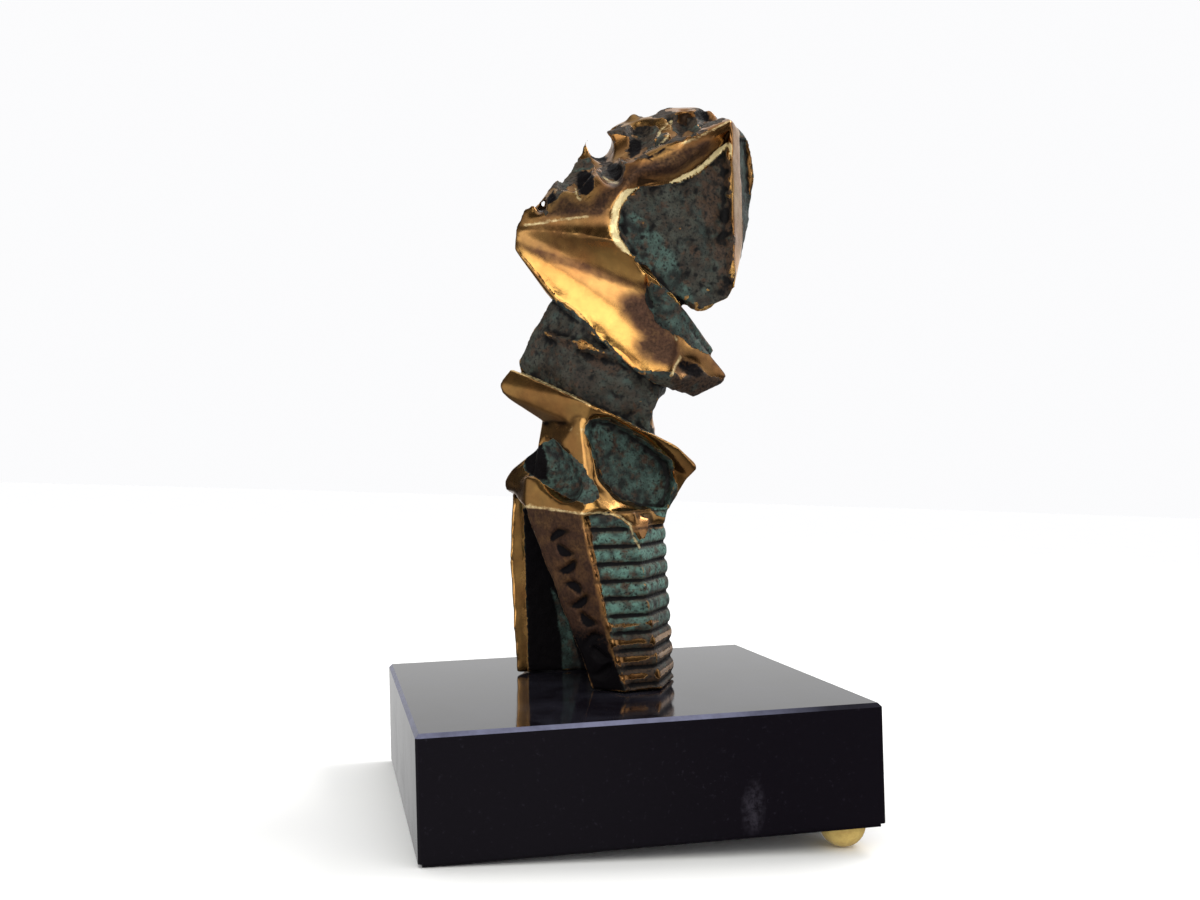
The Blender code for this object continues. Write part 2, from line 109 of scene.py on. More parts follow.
def plinth_top():
    """The middle and the normal of the plinth's top face, from its CAD mesh."""
    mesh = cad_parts["plinth"].data
    best = max(mesh.polygons, key=lambda face: face.area * (face.normal.z > 0.9))
    normal = best.normal.copy()
    level = max(normal.dot(v.co) for v in mesh.vertices)
    rim = [v.co for v in mesh.vertices if normal.dot(v.co) > level - 0.01 * MM]
    low = Vector(min(p[i] for p in rim) for i in range(3))
    high = Vector(max(p[i] for p in rim) for i in range(3))
    return (low + high) / 2, normal


def statue_frame():
    """From statue coordinates, in metres, to the row frame."""
    centre, up = plinth_top()
    right = Vector((0.0, 1.0, 0.0)).cross(up).normalized()
    away = up.cross(right)
    basis = Matrix((right, away, up)).transposed().to_4x4()
    return Matrix.Translation(centre) @ basis @ Matrix.Rotation(STATUE_TURN, 4, "Z")


STATUE = statue_frame()


def place(x, y, z):
    """A point in statue coordinates as a point in the row frame."""
    return STATUE @ (Vector((x, y, z)) * MM)


def fine_copy(node, name):
    """An even, fine mesh grown from a CAD node, its edges softened a little."""
    bm = bmesh.new()
    bm.from_mesh(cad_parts[node].data)
    bmesh.ops.remove_doubles(bm, verts=bm.verts[:], dist=0.001 * MM)
    mesh = bpy.data.meshes.new(name)
    bm.to_mesh(mesh)
    bm.free()
    piece = bpy.data.objects.new(name, mesh)
    bpy.context.scene.collection.objects.link(piece)
    grid = piece.modifiers.new("grid", "REMESH")
    grid.mode = "VOXEL"
    grid.voxel_size = VOXEL * MM
    soften = piece.modifiers.new("soften", "SMOOTH")
    soften.factor = 0.5
    soften.iterations = SOFTEN_ROUNDS
    bake(piece)
    return piece


def thin_out(piece):
    """Takes triangles away where the surface is smooth, down to a number."""
    triangles = sum(len(p.vertices) - 2 for p in piece.data.polygons)
    thin = piece.modifiers.new("thin", "DECIMATE")
    thin.ratio = min(1.0, TARGET_FACES / triangles)
    bake(piece)


def bake(piece):
    """Turns a piece's modifiers into its mesh."""
    graph = bpy.context.evaluated_depsgraph_get()
    made = bpy.data.meshes.new_from_object(piece.evaluated_get(graph))
    piece.modifiers.clear()
    piece.data = made


class Surface:
    """A mesh's points in statue coordinates, with the neighbour averages that relief and wear need."""

    def __init__(self, piece):
        self.piece = piece
        mesh = piece.data
        flat = np.empty(len(mesh.vertices) * 3)
        mesh.vertices.foreach_get("co", flat)
        self.world = flat.reshape(-1, 3)
        to_statue = np.array((STATUE @ Matrix.Translation((0.0, 0.0, SEAT_GAP * MM))).inverted())
        self.turn = to_statue[:3, :3]
        self.points = (self.world @ self.turn.T + to_statue[:3, 3]) / MM
        ends = np.empty(len(mesh.edges) * 2, np.int64)
        mesh.edges.foreach_get("vertices", ends)
        self.ends = ends.reshape(-1, 2)
        self.degree = np.bincount(self.ends.ravel(), minlength=len(self.points))
        self.look()

    def look(self):
        """Reads the normals, and where the viewer sees each point and whether it faces them."""
        self.read_normals()
        self.seen = self.to_picture(self.points)
        toward = np.array(CAMERA_PLACE) - self.points
        cosine = (toward * self.normals).sum(axis=1) / np.linalg.norm(toward, axis=1)
        self.facing = step(cosine, -0.12, 0.10)

    def to_picture(self, points):
        """Where the viewer sees points: across and up on the plane through the statue's axis."""
        _, eye_y, eye_z = CAMERA_PLACE
        share = -eye_y / (points[:, 1] - eye_y)
        return np.stack([points[:, 0] * share, eye_z + (points[:, 2] - eye_z) * share])

    def read_normals(self):
        flat = np.empty(len(self.world) * 3)
        self.piece.data.vertex_normals.foreach_get("vector", flat)
        self.world_normals = flat.reshape(-1, 3)
        self.normals = self.world_normals @ self.turn.T

    def average(self, values, rounds):
        """A value at each point averaged over its neighbours, some times over."""
        a, b = self.ends.T
        for _ in range(rounds):
            total = np.bincount(a, values[b], len(values)) + np.bincount(b, values[a], len(values))
            values = 0.5 * values + 0.5 * total / np.maximum(self.degree, 1)
        return values

    def hollow(self, rounds):
        """How far each point lies under the surface around it, in millimetres: positive in a hollow."""
        around = np.stack([self.average(self.points[:, i], rounds) for i in range(3)], axis=1)
        return ((around - self.points) * self.normals).sum(axis=1)

    def push(self, height):
        """Moves each point along its normal by a height in millimetres."""
        self.move(self.normals * height[:, None])

    def move(self, offset):
        """Moves each point by an offset in statue millimetres."""
        self.points = self.points + offset
        self.world = self.world + offset @ self.turn * MM
        mesh = self.piece.data
        mesh.vertices.foreach_set("co", self.world.ravel())
        mesh.update()
        self.read_normals()

    def keep(self, name, values):
        """Stores a value at each point for the materials."""
        mesh = self.piece.data
        attribute = mesh.attributes.get(name) or mesh.attributes.new(name, "FLOAT", "POINT")
        attribute.data.foreach_set("value", np.asarray(values, np.float32))


def step(values, low, high):
    """0 below low, 1 above high, and smooth between."""
    share = np.clip((values - low) / (high - low), 0.0, 1.0)
    return share * share * (3 - 2 * share)


def grain(points, size, octaves=3, seed=0.0):
    """Fractal noise from about -1 to 1 with bumps of a size in millimetres."""
    shift = Vector((seed * 17.3, seed * 5.9, seed * 11.1))
    found = [noise.fractal(Vector(p) / size + shift, 0.9, 2.1, octaves) for p in points]
    return np.array(found)


def near_line(across, up, line):
    """How far each point is from a broken line."""
    nearest = np.full(len(across), FAR)
    for (x0, z0), (x1, z1) in zip(line, line[1:]):
        dx, dz = x1 - x0, z1 - z0
        share = np.clip(((across - x0) * dx + (up - z0) * dz) / (dx * dx + dz * dz), 0, 1)
        nearest = np.minimum(nearest, np.hypot(across - x0 - share * dx, up - z0 - share * dz))
    return nearest


def inside(across, up, outline):
    """How far each point lies inside a closed outline, in millimetres: negative outside it."""
    closed = outline + outline[:1]
    crossed = np.zeros(len(across), bool)
    for (x0, z0), (x1, z1) in zip(closed, closed[1:]):
        dx, dz = x1 - x0, z1 - z0
        spans = (z0 > up) != (z1 > up)
        crossed ^= spans & (across < x0 + (up - z0) * dx / (dz if dz else 1e-9))
    nearest = near_line(across, up, closed)
    return np.where(crossed, nearest, -nearest)


# Places on the bronze as the viewer sees them: across and up on the plane through the statue's axis
HEAD_PANEL = [
    (13.8, 145.0), (10.1, 142.1), (7.7, 138.6), (6.7, 134.2), (7.5, 130.3), (9.2, 127.6), (11.4, 124.0),
    (16.1, 120.1), (19.7, 114.6), (23.5, 110.7), (27.5, 106.4), (28.9, 105.5), (29.9, 107.3), (35.2, 108.9),
    (38.8, 110.9), (40.7, 114.1), (41.3, 120.0), (40.9, 131.8), (40.8, 143.7), (40.8, 153.5), (40.3, 156.2),
    (38.0, 154.6), (34.8, 151.8), (31.4, 148.8), (25.6, 146.2), (19.7, 145.6),
]
PANEL_BROWN = [
    (30.0, 150.0), (40.8, 158.0), (42.0, 120.0), (41.0, 112.0), (36.0, 114.0), (35.0, 130.0), (30.0, 140.0),
]
PANEL_TEAL = [
    (6.5, 136.0), (12.0, 138.0), (20.0, 130.0), (27.0, 118.0), (30.0, 107.0), (28.0, 105.0), (15.0, 119.0),
]
TONGUE = [
    (16.0, 117.4), (14.4, 115.4), (14.6, 111.8), (16.0, 107.3), (18.3, 104.0), (21.5, 101.6), (25.2, 99.4),
    (29.0, 96.4), (31.9, 94.8), (34.3, 95.0), (35.2, 96.5), (32.6, 99.5), (29.5, 103.4), (27.5, 106.2),
    (23.5, 110.7), (20.0, 114.6),
]
NECK = [
    (-16.6, 113.8), (-12.8, 111.6), (-9.0, 108.6), (-2.1, 103.4), (1.6, 98.9), (5.6, 94.0), (9.7, 90.7),
    (12.9, 89.0), (21.7, 88.3), (26.8, 82.0), (19.4, 81.6), (16.7, 78.7), (14.8, 74.9), (16.2, 71.0),
    (11.9, 73.2), (5.2, 77.5), (-2.7, 81.3), (-11.4, 85.6), (-20.7, 90.3), (-24.4, 95.1), (-22.8, 102.4),
    (-19.1, 109.1),
]
NECK_WORN = [
    (-14.2, 104.6), (-10.4, 101.2), (-5.1, 99.9), (0.7, 97.4), (4.8, 95.2), (7.6, 91.9), (5.5, 89.6),
    (0.5, 90.9), (-3.5, 94.0), (-7.6, 96.7), (-12.2, 99.5), (-15.4, 102.0),
]
NOSE_HOLLOW = [
    (21.1, 88.3), (23.2, 89.4), (25.5, 88.2), (27.1, 92.0), (29.5, 92.8), (30.9, 89.5), (33.5, 88.6),
    (37.6, 87.9), (37.0, 85.8), (32.8, 84.2), (29.8, 81.9), (26.8, 81.4), (25.1, 83.2), (22.1, 82.1),
]
TORSO_RIGHT = [
    (-3.1, 76.3), (-0.7, 77.4), (3.1, 76.4), (6.3, 75.1), (9.8, 72.7), (13.2, 70.2), (16.1, 67.8),
    (19.0, 65.9), (21.9, 63.2), (21.2, 59.7), (23.2, 57.3), (22.5, 52.6), (20.6, 47.1), (17.1, 47.4),
    (14.2, 49.9), (9.8, 51.8), (6.0, 52.7), (3.7, 54.9), (1.7, 56.7), (-0.0, 59.1), (-0.5, 62.0),
    (-2.2, 65.6), (-2.7, 69.5), (-4.7, 72.8),
]
TORSO_LEFT = [
    (-15.9, 70.4), (-13.5, 71.2), (-11.5, 69.1), (-9.5, 67.0), (-6.6, 65.1), (-4.9, 63.6), (-3.8, 60.9),
    (-2.1, 58.5), (-0.7, 55.9), (-0.7, 53.8), (-2.3, 52.1), (-5.2, 51.6), (-8.4, 52.8), (-11.9, 54.4),
    (-15.4, 57.1), (-17.7, 59.2), (-20.9, 60.8), (-22.6, 63.2), (-21.9, 66.1), (-18.9, 68.7),
]
CROWN = [
    (-15.6, 139.5), (-14.2, 137.4), (-13.0, 138.3), (-11.5, 141.2), (-9.9, 143.2), (-7.8, 144.4),
    (-6.0, 144.9), (-4.9, 142.8), (-3.8, 141.0), (-2.0, 141.3), (0.5, 144.8), (0.8, 147.7), (2.3, 147.7),
    (4.3, 146.7), (7.0, 146.4), (8.8, 147.5), (9.8, 150.1), (9.8, 151.9), (12.8, 153.0), (16.3, 152.9),
    (19.0, 153.5), (21.4, 155.5), (24.7, 157.5), (28.3, 158.8), (31.9, 159.3), (35.8, 161.6), (38.5, 163.3),
    (44.0, 168.0), (39.3, 178.0), (2.7, 178.0), (-9.4, 165.0), (-20.0, 145.0),
]
STRIPE = [
    (-24.7, 131.8), (-22.1, 129.6), (-10.4, 125.8), (1.3, 121.9), (11.3, 117.2), (17.4, 116.5),
    (20.0, 114.6), (23.5, 111.0), (26.9, 107.9), (30.3, 102.5), (24.5, 106.8), (20.0, 111.7),
    (15.9, 114.4), (7.1, 115.9), (-4.6, 120.6), (-14.9, 123.8), (-24.5, 128.8),
]
# A painted dark reflection on the scoop's right
SCOOP_DARK_REFLECTION = [
    (6.4, 112.0), (10.0, 113.7), (15.3, 114.2), (18.8, 111.1), (22.7, 104.2), (24.9, 98.2), (25.1, 93.8),
    (22.1, 90.9), (16.8, 92.3), (12.4, 94.7), (10.7, 97.7), (12.6, 101.2), (9.7, 104.6), (6.9, 107.9),
]
# A painted dark reflection on the flange's top
FLANGE_DARK_REFLECTION = [
    (-14.2, 136.8), (-11.2, 141.5), (-7.5, 143.8), (-4.7, 141.3), (-1.1, 140.6), (1.9, 144.7), (5.5, 145.5),
    (9.4, 148.7), (11.0, 151.6), (16.9, 152.3), (23.5, 155.1), (29.5, 157.0), (34.2, 158.4), (36.5, 156.9),
    (31.7, 152.2), (24.5, 148.3), (15.3, 147.0), (9.3, 144.5), (4.8, 139.9), (2.3, 136.7), (-5.7, 136.6),
]
# Painted shade in the nose's eye hollow
NOSE_EYE = [
    (23.0, 93.3), (24.8, 94.7), (27.7, 93.1), (30.6, 91.9), (31.5, 89.5), (29.3, 87.5), (26.4, 88.5),
    (23.5, 90.3),
]
CROWN_TEAL = [
    [(-7.6, 152.4), (-4.9, 154.4), (-0.8, 153.7), (1.2, 151.3), (-0.9, 150.1), (-4.4, 150.2), (-5.7, 146.4),
     (-9.3, 144.4), (-11.1, 143.0), (-10.4, 148.0)],
    [(10.6, 160.5), (14.2, 163.1), (18.7, 163.0), (21.3, 160.8), (19.4, 158.5), (16.4, 155.6), (15.0, 158.6),
     (12.4, 160.2)],
    [(27.9, 165.4), (31.2, 165.9), (33.2, 162.9), (31.3, 160.0), (28.4, 161.5)],
]
# Painted shade in the crown's cups
CROWN_HOLES = [
    [(-4.7, 149.6), (-2.0, 150.7), (0.3, 148.9), (0.5, 144.8), (-1.1, 142.7), (-3.1, 142.5), (-4.9, 144.9)],
    [(4.5, 151.8), (7.2, 152.6), (9.2, 151.0), (8.8, 148.4), (7.0, 146.9), (5.0, 147.9), (3.9, 150.3)],
    [(10.9, 158.4), (12.4, 159.6), (15.0, 158.3), (14.3, 154.8), (11.6, 153.1), (10.2, 154.0)],
    [(15.5, 153.5), (18.8, 155.2), (21.8, 156.9), (22.3, 156.0), (18.7, 153.8), (16.3, 152.6)],
    [(-13.5, 143.3), (-11.6, 145.4), (-10.8, 142.1), (-12.7, 139.8), (-13.8, 140.7)],
    [(-0.4, 155.7), (3.7, 155.3), (4.5, 153.2), (2.1, 152.7), (-0.2, 154.3)],
    [(29.7, 166.8), (33.3, 167.9), (35.6, 165.8), (34.4, 163.4), (31.4, 164.4)],
]
WAIST_SHADOW = [(-22.5, 65.0), (-17.0, 70.5), (-15.6, 66.0), (-15.4, 59.0), (-19.0, 59.6), (-22.0, 62.0)]
SLAB = [
    (-23.8, 51.8), (-12.3, 50.3), (-5.6, 48.9), (-4.9, 41.5), (-3.3, 34.2), (-1.2, 23.8), (0.8, 12.0),
    (3.0, 4.6), (5.7, -3.4), (-3.7, -3.1), (-6.7, 5.8), (-10.9, 15.8), (-15.0, 27.1), (-19.1, 39.0),
]
REAR_TEAL = [
    (-15.8, 28.9), (-13.0, 23.5), (-10.2, 16.4), (-8.4, 9.3), (-6.8, 2.2), (-12.7, 2.4), (-13.0, 12.4),
    (-14.2, 21.2),
]

# The bevels round the head's panel, which carry a painted highlight: along a line, how wide they are
CRESCENT = [(8.6, 142.2), (5.6, 134.6), (7.0, 128.6)]
CRESCENT_WIDTH = 2.8
TOP_BEVEL = [(27.0, 148.0), (31.6, 151.0), (36.5, 155.5), (39.2, 157.6)]
TOP_BEVEL_WIDTH = 1.7
BEVEL_DEPTH = 1.0

# Painted highlight lines along the edges of the collar, the belt, the scoop, the crown's rim and its saddle
HIGHLIGHT_LINES = [
    [(-26.3, 92.2), (-20.1, 89.8), (-11.4, 85.6), (-2.7, 81.0)],
    [(-23.2, 51.7), (-12.3, 50.1), (-5.6, 48.9), (-0.6, 49.2), (5.3, 48.0), (8.2, 45.6), (9.2, 41.8),
     (10.9, 38.5)],
    [(22.9, 100.4), (24.6, 96.8), (24.5, 94.1), (23.0, 92.1), (21.7, 88.9)],
    [(19.5, 160.0), (21.3, 162.9), (23.7, 164.3), (22.4, 159.6), (20.0, 157.3)],
    [(-5.2, 144.9), (-4.6, 142.2), (-2.9, 141.0)],
    [(3.2, 148.2), (4.9, 146.7), (7.3, 146.3)],
    [(25.9, 157.4), (31.0, 159.1), (35.8, 161.3), (40.9, 163.9)],
    [(-10.5, 73.8), (-4.6, 73.6)],
    [(-20.7, 134.5), (-14.5, 135.1), (-10.1, 135.9), (-1.3, 136.6)],
]

# The ribbed column's left edge, at the plinth and at its top, and the line under the belt
COLUMN_LEFT = ((3.2, 0.0), (-5.0, 50.0))
BELT_LINE = [
    (-22.5, 51.0), (-5.6, 48.6), (2.0, 49.6), (8.0, 46.0), (10.8, 41.5), (12.2, 41.5), (13.6, 44.5),
    (30.0, 44.5),
]

# The ribs: how far apart they are and where they start; then where the rear leg and the head's side begin
RIB_PITCH = 53.0 / 11
RIB_START = -3.0
REAR_LEG_Y = 6.0
LEG_TOP = 50.0
REAR_STRIP_X = -24.2
HEAD_SIDE_X = 41.5

# By place, radius and depth: cups of the crown, notches of its rims, which go down, and pits lower down
CUPS = [
    ((-3.5, -2.0, 150.0), 4.2, 1.6), ((-3.3, -10.0, 142.7), 3.0, 1.6), ((6.3, -12.0, 146.3), 3.2, 1.2),
    ((13.0, -4.0, 155.0), 3.8, 2.0), ((14.8, 8.0, 163.4), 4.2, 1.6), ((28.4, -4.0, 159.6), 4.0, 1.8),
    ((33.0, 8.0, 166.8), 4.0, 1.8), ((24.2, 12.0, 169.1), 3.0, 1.4), ((7.6, 2.0, 156.9), 3.0, -1.4),
    ((22.5, 0.0, 161.1), 3.0, -1.2), ((21.2, -15.0, 152.6), 2.2, 1.2), ((16.3, -14.0, 150.7), 2.0, 1.2),
]
NOTCHES = [
    ((12.9, 21.6, 171.2), 3.2, -1.7), ((18.6, 22.4, 173.0), 3.6, 2.6), ((6.3, 19.0, 167.9), 2.6, 1.5),
    ((36.4, 17.0, 169.8), 3.4, -1.7), ((28.8, 16.5, 172.5), 3.0, 0.9), ((-5.5, 4.0, 157.5), 2.4, 0.9),
]
PITS = [
    ((28.6, -22.0, 90.0), 2.6, 1.6), ((24.5, -22.0, 85.0), 3.0, 1.4), ((32.0, -22.0, 86.0), 2.6, 1.2),
    ((6.0, -14.0, 83.0), 4.0, 1.2), ((-6.0, -12.0, 98.0), 3.4, 0.8),
]

# How high the lumps of the patina are in each place, in millimetres
LUMPS = (
    (HEAD_PANEL, 1.1), (CROWN, 0.30), (NECK, 0.85), (TONGUE, 0.45), (TORSO_RIGHT, 0.35), (TORSO_LEFT, 0.35),
)

# The strokes down the slab: the first and the last place, how many, and half their length and width
STROKES_TOP = (-12.6, -17.6, 44.0)
STROKES_BOTTOM = (-0.5, -19.4, 5.0)
STROKE_COUNT = 9
STROKE_REACH = (3.9, 1.75)
STROKE_DEPTH = 0.75


def line_height(across, line):
    """The height of a broken line at each place across."""
    return np.interp(across, [p[0] for p in line], [p[1] for p in line])


def in_place(surface, outline, ragged=0.0, furthest_y=40.0):
    """1 inside an outline that the viewer sees and 0 outside it, as far back as a depth."""
    across, up = surface.seen
    depth = 1 - step(surface.points[:, 1], furthest_y, furthest_y + 1.0)
    return step(inside(across, up, outline) + ragged, -0.3, 0.5) * surface.facing * depth


def bevel_of(surface):
    """How far down the bevels round the head's panel each point is: 0 at the outer edge, 1 at the panel."""
    across, up = surface.seen
    outward = -inside(across, up, HEAD_PANEL)
    found = np.zeros(len(across))
    for line, width in ((CRESCENT, CRESCENT_WIDTH), (TOP_BEVEL, TOP_BEVEL_WIDTH)):
        local = width * (1 - step(near_line(across, up, line), 1.0, 6.5)) + 1e-3
        share = np.where(outward > 0, np.clip(1 - outward / local, 0, 1), 0.0)
        found = np.maximum(found, share * (local > 0.2 * width))
    return found * surface.facing * (surface.points[:, 1] < 0)


def stroke_of(surface):
    """How deep in a stroke each point of the slab is: 1 in its middle."""
    across, up = surface.seen
    top, bottom = np.array(STROKES_TOP), np.array(STROKES_BOTTOM)
    ends = [surface.to_picture(point[None])[:, 0] for point in (top, bottom)]
    found = np.zeros(len(across))
    for number in range(STROKE_COUNT):
        middle = ends[0] + (ends[1] - ends[0]) * number / (STROKE_COUNT - 1)
        lean = math.radians(-38 if number % 2 else 30)
        along = (across - middle[0]) * math.cos(lean) + (up - middle[1]) * math.sin(lean)
        aside = (up - middle[1]) * math.cos(lean) - (across - middle[0]) * math.sin(lean)
        bend = aside - 0.10 * along**2 * (1 if number % 3 else -1)
        away = np.hypot(along / STROKE_REACH[0], bend / STROKE_REACH[1])
        found = np.maximum(found, 1 - step(away, 0.35, 1.1))
    return found * surface.facing * (surface.points[:, 1] < REAR_LEG_Y)


def patina_of(surface, ragged, broad):
    """How patinated each point is: 1 in the rough recesses, 0 on the polished faces."""
    x, y, z = surface.points.T
    nx, ny, _ = surface.normals.T
    across, up = surface.seen
    found = np.zeros(len(x))
    for outline, furthest_y in (
        (HEAD_PANEL, 6.0), (TONGUE, 4.0), (NECK, 40.0),
        (NOSE_HOLLOW, 10.0), (TORSO_RIGHT, 10.0), (TORSO_LEFT, 10.0),
    ):
        found = np.maximum(found, in_place(surface, outline, ragged, furthest_y))
    found = found * (1 - 0.6 * in_place(surface, NECK_WORN) * step(ragged, -0.1, 0.3))
    crown = in_place(surface, CROWN, ragged)
    for outline in CROWN_TEAL:
        found = np.maximum(found, in_place(surface, outline, ragged))
    found = np.maximum(found, crown * step(broad, -0.15, 0.1))
    (x0, z0), (x1, z1) = COLUMN_LEFT
    column_edge = x0 + (z - z0) * (x1 - x0) / (z1 - z0)
    column = step(across - column_edge + 0.5 * ragged, 0.5, 1.5)
    column = column * step(line_height(across, BELT_LINE) - up + 0.6 * ragged, 0.0, 0.8)
    column = column * (1 - step(y, REAR_LEG_Y, REAR_LEG_Y + 1.0))
    crest = step(to_groove(surface), 1.1, 2.2)
    column = column * (1 - crest * step(20.0 - up + 4 * ragged, 0.0, 8.0) * step(ragged, -0.5, 0.0))
    rear = step(y, REAR_LEG_Y, REAR_LEG_Y + 1.0) * step(52.0 - z + ragged, 0.0, 1.5)
    rear = rear * step(x - REAR_STRIP_X + 0.3 * ragged, 0.0, 0.8)
    side = step(x - HEAD_SIDE_X + ragged, 0.0, 1.0) * step(nx, 0.1, 0.4)
    side = side * step(y, -4.0, -2.0) * step(z, 110.0, 112.0)
    back = step(ny, 0.15, 0.45) * (1 - step(-surface.hollow(60) + 0.1 * ragged, 0.25, 0.55))
    neck_round = step(inside(x, z, NECK) + ragged, -0.3, 0.5)
    deep = step(surface.hollow(60) + 0.10 * ragged, 0.30, 0.50) * (1 - step(z, 68.0, 70.0) * (ny < 0.3))
    for more in (column, rear, side, back, neck_round, deep):
        found = np.maximum(found, more)
    return found * (1 - step(bevel_of(surface), 0.02, 0.1))


def to_groove(surface):
    """How far up or down each point is from the nearest groove between two ribs."""
    turns = (surface.points[:, 2] - RIB_START) / RIB_PITCH
    return np.abs((turns + 0.5) % 1 - 0.5) * RIB_PITCH


def on_column(surface):
    """1 on the ribbed column, 0 elsewhere."""
    y, z = surface.points[:, 1], surface.points[:, 2]
    return (y < REAR_LEG_Y) * (z < LEG_TOP) * (1 - in_place(surface, SLAB))


def on_slab(surface):
    """1 on the slab's face, 0 elsewhere."""
    return in_place(surface, SLAB, 0.0, REAR_LEG_Y)


def verdigris_of(surface):
    """Where the patina is light green: most on the upper ribs, less on head, waist and rear leg."""
    _, y, z = surface.points.T
    on_ribs = step(z, 12.0, 24.0) * (1 - step(z, 50.0, 54.0)) * (y < REAR_LEG_Y)
    on_rear = 0.45 * step(inside(*surface.seen, REAR_TEAL), -0.3, 0.5) * (y > REAR_LEG_Y) * surface.facing
    on_head = 0.05 * in_place(surface, HEAD_PANEL) + 0.22 * in_place(surface, PANEL_TEAL)
    on_tongue = 0.20 * in_place(surface, TONGUE)
    on_waist = 0.30 * step(z, 52.0, 56.0) * (1 - step(z, 74.0, 78.0))
    on_crown = 0.10 * step(z, 140.0, 150.0)
    for outline in CROWN_TEAL:
        on_crown = np.maximum(on_crown, 0.55 * in_place(surface, outline))
    return np.clip(np.max([on_ribs, on_rear, on_head, on_tongue, on_waist, on_crown], axis=0), 0, 1)


def cut_and_highlight_of(surface):
    """Where a painted highlight makes the metal bright: the bevels of the head and the highlight lines."""
    across, up = surface.seen
    nearest = np.min([near_line(across, up, line) for line in HIGHLIGHT_LINES], axis=0)
    lines = 0.62 * (1 - step(nearest, 0.10, 0.65)) * surface.facing * (surface.points[:, 1] < 14)
    return np.maximum(step(bevel_of(surface), 0.10, 0.30), lines)


def film_and_dark_reflection_of(surface, broad):
    """How strongly a brown film covers the polish, with painted dark reflections on the scoop's right, the
    flange's top and the slab: least in the scoop, and not at all on the bevels.
    """
    x, _, z = surface.points.T
    across, up = surface.seen
    scoop = step(z, 88.0, 90.0) * (1 - step(z, 124.0, 130.0)) * surface.facing
    nose = step(across, 20.0, 23.0) * step(98.0 - up, 0.0, 2.0) * step(up, 78.0, 80.0)
    # Painted dark reflection on the slab, darker towards its bottom
    slab = 0.92 + 0.08 * step(30.0 - z, 0.0, 18.0)
    knob = step(-x, 21.0, 23.0) * step(z, 53.0, 55.0) * (1 - step(z, 67.0, 70.0))
    places = [
        0.30 * (1 - scoop),
        0.52 * step(z, 120.0, 126.0),
        0.85 * in_place(surface, STRIPE),
        step(inside(across, up, SCOOP_DARK_REFLECTION), -2.2, 2.0) * surface.facing,
        0.9 * step(inside(across, up, FLANGE_DARK_REFLECTION), -2.0, 1.0) * surface.facing,
        0.50 * in_place(surface, CROWN),
        0.60 * on_column(surface),
        0.68 * nose,
        slab * on_slab(surface),
        0.7 * knob,
    ]
    film_and_dark_reflection = np.max(places, axis=0) * (1 - step(bevel_of(surface), 0.02, 0.2))
    return np.clip(film_and_dark_reflection + 0.12 * broad * (film_and_dark_reflection > 0.1), 0, 1)


def brown_of(surface, ragged):
    """Where the patina is brown, not green: the panel's right, neck, nose, crown and low ribs."""
    _, up = surface.seen
    low_ribs = step(20.0 - up + 3 * ragged, 0.0, 8.0) * on_column(surface)
    rib_edges = 0.8 * (1 - step(to_groove(surface), 0.7, 1.5)) * on_column(surface)
    places = [
        in_place(surface, PANEL_BROWN, 2 * ragged), in_place(surface, NECK_WORN, ragged),
        0.9 * in_place(surface, CROWN), in_place(surface, NOSE_HOLLOW), 0.45 * in_place(surface, NECK),
        0.45 * in_place(surface, HEAD_PANEL) * (1 - in_place(surface, PANEL_TEAL)), low_ribs, rib_edges,
    ]
    return np.max(places, axis=0)


def shade_of(surface):
    """Painted shade where it is nearly black: strokes, grooves, cups, wrinkles, rear leg, the slab's foot and
    the nose's hollows, and painted dark reflections.
    """
    x, y, z = surface.points.T
    across, up = surface.seen
    # Painted shade in the slab's strokes
    strokes = stroke_of(surface)
    # Painted shade on the rear leg's inner face, behind the slab
    rear = step(y, REAR_LEG_Y, REAR_LEG_Y + 1.0) * step(54.0 - z, 0.0, 2.0)
    rear = rear * step(x - REAR_STRIP_X, 0.0, 1.0)
    rear = rear * (1 - step(inside(across, up, REAR_TEAL), -0.3, 0.5))
    rear = rear * surface.facing * step(-4.0 - x, 0.0, 3.0)
    # Painted shade towards the foot of the slab
    foot = on_slab(surface) * 0.85 * step(30.0 - z, 0.0, 20.0)
    # Painted shade in the crown's cups and at the waist
    holes = np.max([in_place(surface, outline) for outline in CROWN_HOLES + [WAIST_SHADOW]], axis=0)
    # Painted dark reflections on the flange, slab and scoop, and painted shade in the nose's hollows
    dark_reflection_and_hollow_shade = np.max([
        0.57 * step(inside(across, up, FLANGE_DARK_REFLECTION), -2.0, 1.5),
        0.75 * step(inside(across, up, NOSE_EYE), -0.5, 1.0),
        0.40 * step(inside(across, up, NOSE_HOLLOW), -0.5, 1.0),
        0.50 * on_slab(surface),
        0.48 * step(inside(across, up, SCOOP_DARK_REFLECTION), -1.0, 3.0),
    ], axis=0)
    dark_reflection_and_hollow_shade = dark_reflection_and_hollow_shade * surface.facing * (y < 0)
    # Painted shade in the grooves between the ribs
    groove = 0.60 * (1 - step(to_groove(surface), 0.3, 1.0)) * on_column(surface)
    wrinkled = np.max([in_place(surface, outline) for outline in (HEAD_PANEL, NECK, TONGUE, CROWN)], axis=0)
    # Painted shade in the broad hollows of the wrinkled patina
    wrinkle = 0.52 * step(surface.hollow(60), 0.04, 0.55) * wrinkled
    return np.max([wrinkle, strokes, 0.95 * rear, foot, 0.9 * holes, groove, dark_reflection_and_hollow_shade], axis=0)


def dent(surface, places, direction=None):
    """Pushes round places in: along the surface's normals, or in a direction."""
    offset = np.zeros_like(surface.points)
    for middle, radius, depth in places:
        away = np.linalg.norm(surface.points - np.array(middle), axis=1)
        share = (1 - step(away, 0.0, radius)) * depth
        line = -surface.normals if direction is None else np.array(direction)
        offset += share[:, None] * line
    surface.move(offset)


